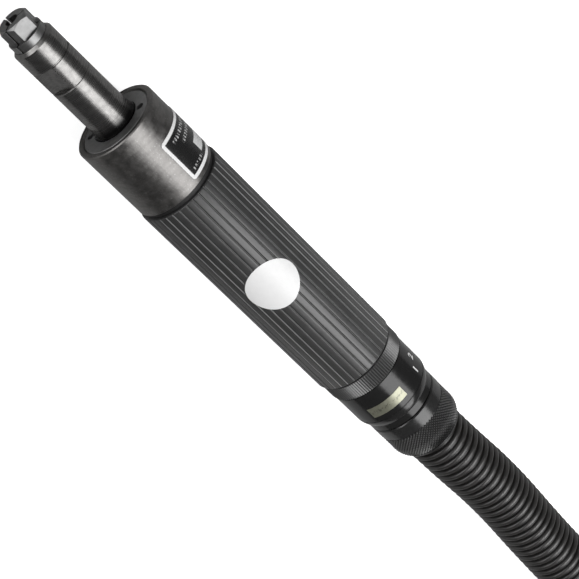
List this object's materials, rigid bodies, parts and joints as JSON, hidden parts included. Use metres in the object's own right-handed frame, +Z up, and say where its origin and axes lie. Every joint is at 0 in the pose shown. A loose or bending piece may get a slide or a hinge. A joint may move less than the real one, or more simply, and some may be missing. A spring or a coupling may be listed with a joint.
{
  "type": "extended straight air die grinder",
  "caption": "Long straight air die grinder: slotted collet, wrench-flat spindle, fluted grip, ring throttle and a corrugated rear exhaust hose.",
  "frame": {"origin": "on the floor under the middle of the tool, without its hoses; the tool lies on its grip", "axes": "+X along the spindle towards the collet, +Z up, +Y to the side where the hose lies back"},
  "size_m": [0.5613, 0.3339, 0.0401],
  "materials": {
    "satin_steel": "satin, lightly turned",
    "dark_steel": "dark turned steel, satin",
    "bearing_steel": "ground and polished",
    "cage_brass": "pressed, satin",
    "housing_steel": "dark, faintly mottled, satin",
    "cap_steel": "turned face, satin",
    "black_rubber": "matt black",
    "printed_foil": "black foil plate with a pale border",
    "grip_anodised": "black anodised, satin",
    "white_label": "white vinyl",
    "gold_label": "pale gold foil",
    "cast_aluminium": "machined",
    "cast_iron": "ground",
    "vane_composite": "phenolic composite",
    "brass": "turned",
    "ring_black": "black, straight-knurled",
    "gloss_black": "gloss black",
    "muffler_bronze": "sintered bronze",
    "nut_black": "gloss black with a diamond knurl",
    "hose_black": "glossy black corrugated hose",
    "cuff_rubber": "moulded",
    "plated_steel": "zinc plated"
  },
  "bodies": {
    "housing": {"front_bearing_outer_ring": "bearing_steel", "rear_bearing_outer_ring": "bearing_steel", "bearing_spacer": "satin_steel", "front_housing": "housing_steel", "front_cap": "cap_steel", "spindle_seal": "black_rubber", "data_plate": "printed_foil", "grip_seal_ring": "black_rubber", "grip_sleeve": "grip_anodised", "grip_label": "white_label", "motor_housing": "cast_aluminium", "front_end_plate": "cast_iron", "rear_end_plate": "cast_iron", "cylinder_liner": "cast_iron", "liner_dowels": "satin_steel", "rotor_front_bearing_outer": "bearing_steel", "rotor_rear_bearing_outer": "bearing_steel", "preload_spring": "satin_steel", "motor_retainer": "satin_steel", "valve_body": "cast_aluminium", "valve_o_rings": "black_rubber", "rear_body": "gloss_black", "tail_label": "gold_label", "exhaust_muffler": "muffler_bronze", "inlet_stem": "brass", "stem_ferrule": "brass", "retaining_wire": "satin_steel", "hose_collar": "black_rubber", "exhaust_hose": "hose_black", "air_hose": "black_rubber", "end_cuff": "cuff_rubber", "plug_ferrule": "brass", "air_plug": "plated_steel"},
    "collet": {"collet": "satin_steel"},
    "spindle": {"spindle": "dark_steel", "spindle_nut": "satin_steel", "drive_coupling": "satin_steel", "front_bearing_inner_ring": "bearing_steel", "rear_bearing_inner_ring": "bearing_steel", "spindle_spacer": "satin_steel", "rotor": "satin_steel", "rotor_vanes": "vane_composite", "rotor_front_bearing_inner": "bearing_steel", "rotor_rear_bearing_inner": "bearing_steel"},
    "spindle_balls": {"front_bearing_balls": "bearing_steel", "front_bearing_cage": "cage_brass", "rear_bearing_balls": "bearing_steel", "rear_bearing_cage": "cage_brass"},
    "rotor_balls": {"rotor_front_bearing_balls": "bearing_steel", "rotor_rear_bearing_balls": "bearing_steel"},
    "throttle": {"throttle_ring": "ring_black", "throttle_pins": "satin_steel", "throttle_sleeve": "brass"},
    "hose_nut": {"hose_nut": "nut_black"}
  },
  "joints": [
    {"name": "spindle_spin", "type": "hinge", "parent": "housing", "child": "spindle", "pos_m": [0.06, 0, 0.02], "axis": [1, 0, 0], "continuous": true},
    {"name": "spindle_balls_roll", "type": "hinge", "parent": "housing", "child": "spindle_balls", "pos_m": [0.06, 0, 0.02], "axis": [1, 0, 0], "continuous": true},
    {"name": "rotor_balls_roll", "type": "hinge", "parent": "housing", "child": "rotor_balls", "pos_m": [0, 0, 0.02], "axis": [1, 0, 0], "continuous": true},
    {"name": "collet_turn", "type": "hinge", "parent": "spindle", "child": "collet", "pos_m": [0.12, 0, 0.02], "axis": [1, 0, 0], "range_deg": [0, 540]},
    {"name": "throttle_turn", "type": "hinge", "parent": "housing", "child": "throttle", "pos_m": [-0.0849, 0, 0.02], "axis": [1, 0, 0], "range_deg": [0, 90]},
    {"name": "hose_nut_swivel", "type": "hinge", "parent": "housing", "child": "hose_nut", "pos_m": [-0.1264, 0, 0.02], "axis": [1, 0, 0], "continuous": true}
  ],
  "couplings": [
    {"joint": "spindle_balls_roll", "follows": "spindle_spin", "ratio": 0.383},
    {"joint": "rotor_balls_roll", "follows": "spindle_spin", "ratio": 0.4}
  ]
}
